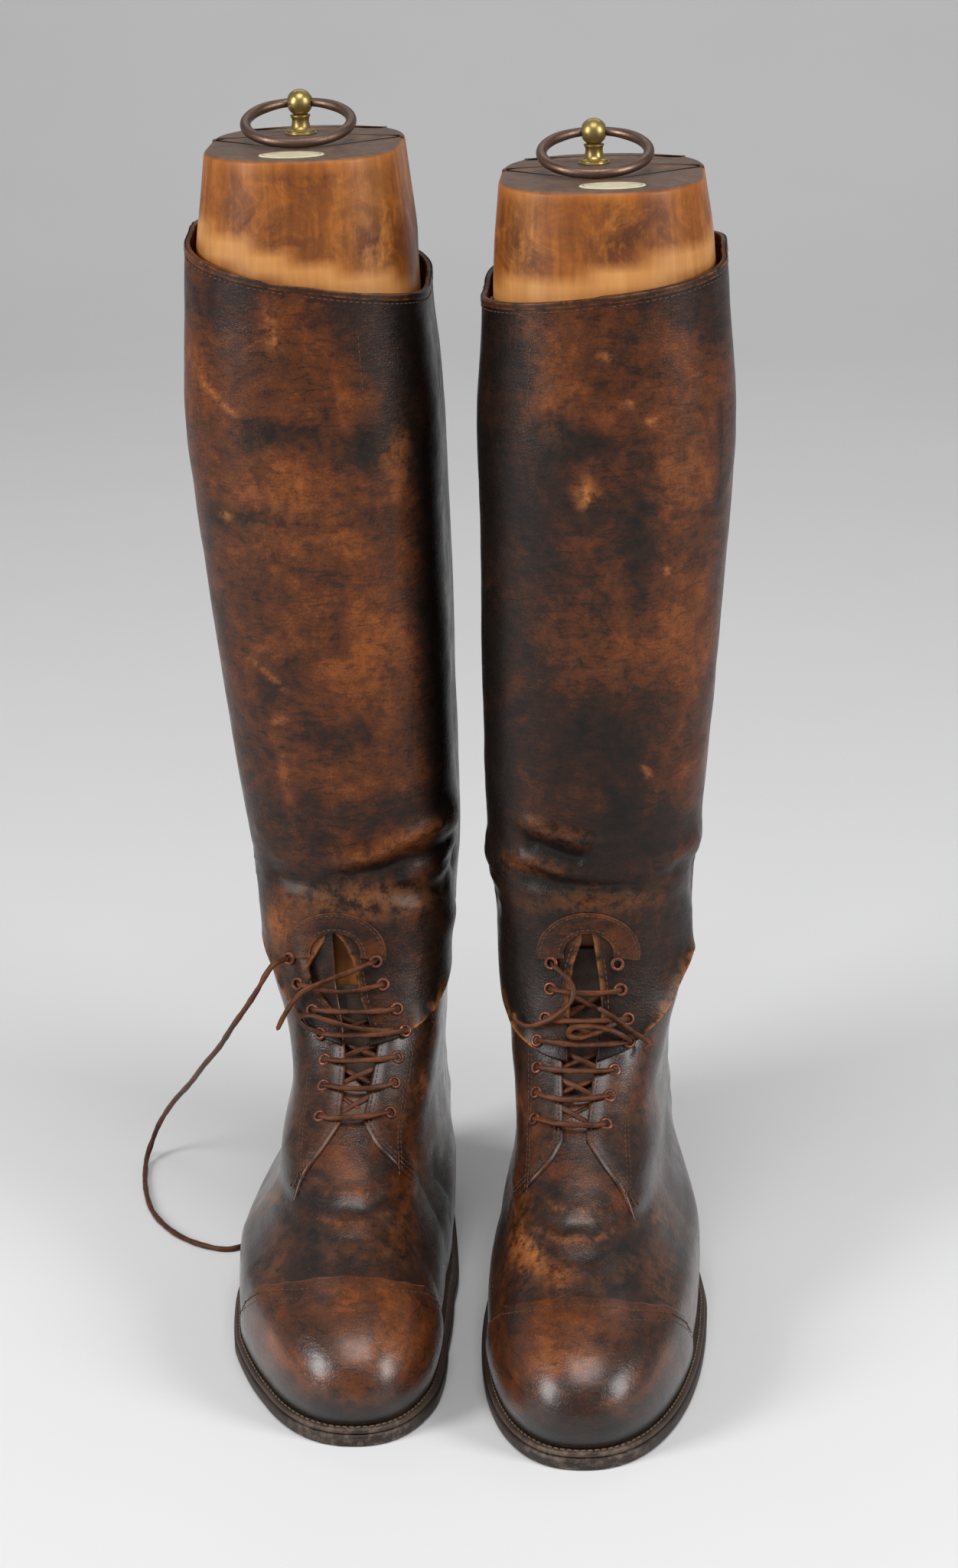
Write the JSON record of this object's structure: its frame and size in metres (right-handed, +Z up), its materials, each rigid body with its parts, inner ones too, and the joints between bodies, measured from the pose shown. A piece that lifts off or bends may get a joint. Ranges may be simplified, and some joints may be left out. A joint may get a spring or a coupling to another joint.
{
  "type": "riding boots",
  "caption": "Tall lace-up leather riding boots standing on wooden boot trees with swinging ring handles; centre boards and calf pieces slide out.",
  "frame": {"origin": "middle of the pair's footprint, on the floor", "axes": "+Z up along the legs; toes point to -Y; +X from the right boot to the left boot, across the pair"},
  "size_m": [0.3157, 0.332, 0.5702],
  "materials": {
    "foot_leather": "dark red-brown waxed leather, worn tan at edges, semi-gloss",
    "leg_leather": "dark brown waxed leather with tan rubs and dark stripes, semi-gloss",
    "strap_leather": "dark brown waxed leather",
    "binding_leather": "thin dark brown rolled binding, stitched",
    "tongue_leather": "dull brown-grey flesh-side leather",
    "insole_leather": "plain tan leather",
    "sole_leather": "dark stained sole leather, scuffed grey at its edge",
    "welt_leather": "dark welt with a stitched groove, matt",
    "heel_leather": "dark stained stacked leather lifts",
    "lace_leather": "rust-brown square-cut leather thong, dry",
    "cork": "cork and felt filler",
    "spring_steel": "plain steel",
    "nail_steel": "worn steel nail heads",
    "screw_steel": "plain steel",
    "loop_webbing": "woven linen webbing",
    "eyelet_copper": "worn copper-plated brass",
    "tree_wood": "varnished beech gone honey-orange, dark mottled staining",
    "knob_brass": "aged polished brass",
    "ring_bronze": "dark copper-brown bronze, polished by handling",
    "label_ivory": "blank ivory-coloured oval plate"
  },
  "bodies": {
    "right_boot": {"right_outsole": "sole_leather", "right_welt": "welt_leather", "right_insole": "insole_leather", "right_filler": "cork", "right_shank": "spring_steel", "right_heel_stack": "heel_leather", "right_top_lift": "heel_leather", "right_heel_nails": "nail_steel", "right_vamp": "foot_leather", "right_toe_cap": "foot_leather", "right_outer_quarter": "foot_leather", "right_inner_quarter": "foot_leather", "right_counter": "insole_leather", "right_backstay": "strap_leather", "right_tongue": "tongue_leather", "right_leg": "leg_leather", "right_leg_strap": "strap_leather", "right_binding": "binding_leather", "right_slit_tab": "leg_leather", "right_pull_loops": "loop_webbing", "right_eyelets": "eyelet_copper", "right_lace": "lace_leather", "right_tree_foot": "tree_wood", "right_tree_shin": "tree_wood", "right_label": "label_ivory", "right_lace_end": "lace_leather"},
    "right_board": {"right_tree_wedge": "tree_wood", "right_knob": "knob_brass", "right_knob_screw": "screw_steel"},
    "right_ring": {"right_ring": "ring_bronze"},
    "right_calf": {"right_tree_calf": "tree_wood"},
    "left_boot": {"left_outsole": "sole_leather", "left_welt": "welt_leather", "left_insole": "insole_leather", "left_shank": "spring_steel", "left_heel_stack": "heel_leather", "left_top_lift": "heel_leather", "left_heel_nails": "nail_steel", "left_vamp": "foot_leather", "left_toe_cap": "foot_leather", "left_outer_quarter": "foot_leather", "left_inner_quarter": "foot_leather", "left_counter": "insole_leather", "left_backstay": "strap_leather", "left_tongue": "tongue_leather", "left_leg": "leg_leather", "left_leg_strap": "strap_leather", "left_binding": "binding_leather", "left_slit_tab": "leg_leather", "left_pull_loops": "loop_webbing", "left_eyelets": "eyelet_copper", "left_lace": "lace_leather", "left_tree_foot": "tree_wood", "left_tree_shin": "tree_wood", "left_label": "label_ivory"},
    "left_board": {"left_tree_wedge": "tree_wood", "left_knob": "knob_brass", "left_knob_screw": "screw_steel"},
    "left_ring": {"left_ring": "ring_bronze"},
    "left_calf": {"left_tree_calf": "tree_wood"}
  },
  "joints": [
    {"name": "right_board_slide", "type": "slide", "parent": "right_boot", "child": "right_board", "axis": [0, 0, 1], "range_m": [0, 0.32]},
    {"name": "right_calf_slide", "type": "slide", "parent": "right_boot", "child": "right_calf", "axis": [0, 0.0191, 0.9998], "range_m": [0, 0.3]},
    {"name": "right_ring_swing", "type": "hinge", "parent": "right_board", "child": "right_ring", "pos_m": [-0.0737, 0.1182, 0.564], "axis": [-1, 0, 0], "range_deg": [0, 208]},
    {"name": "left_board_slide", "type": "slide", "parent": "left_boot", "child": "left_board", "axis": [0, 0, 1], "range_m": [0, 0.32]},
    {"name": "left_calf_slide", "type": "slide", "parent": "left_boot", "child": "left_calf", "axis": [0, 0.0191, 0.9998], "range_m": [0, 0.3]},
    {"name": "left_ring_swing", "type": "hinge", "parent": "left_board", "child": "left_ring", "pos_m": [0.0647, 0.0982, 0.5505], "axis": [-1, 0, 0], "range_deg": [0, 208]},
    {"name": "left_boot_lift", "type": "slide", "parent": "right_boot", "child": "left_boot", "axis": [0, 0, 1], "range_m": [0, 0.3]}
  ]
}
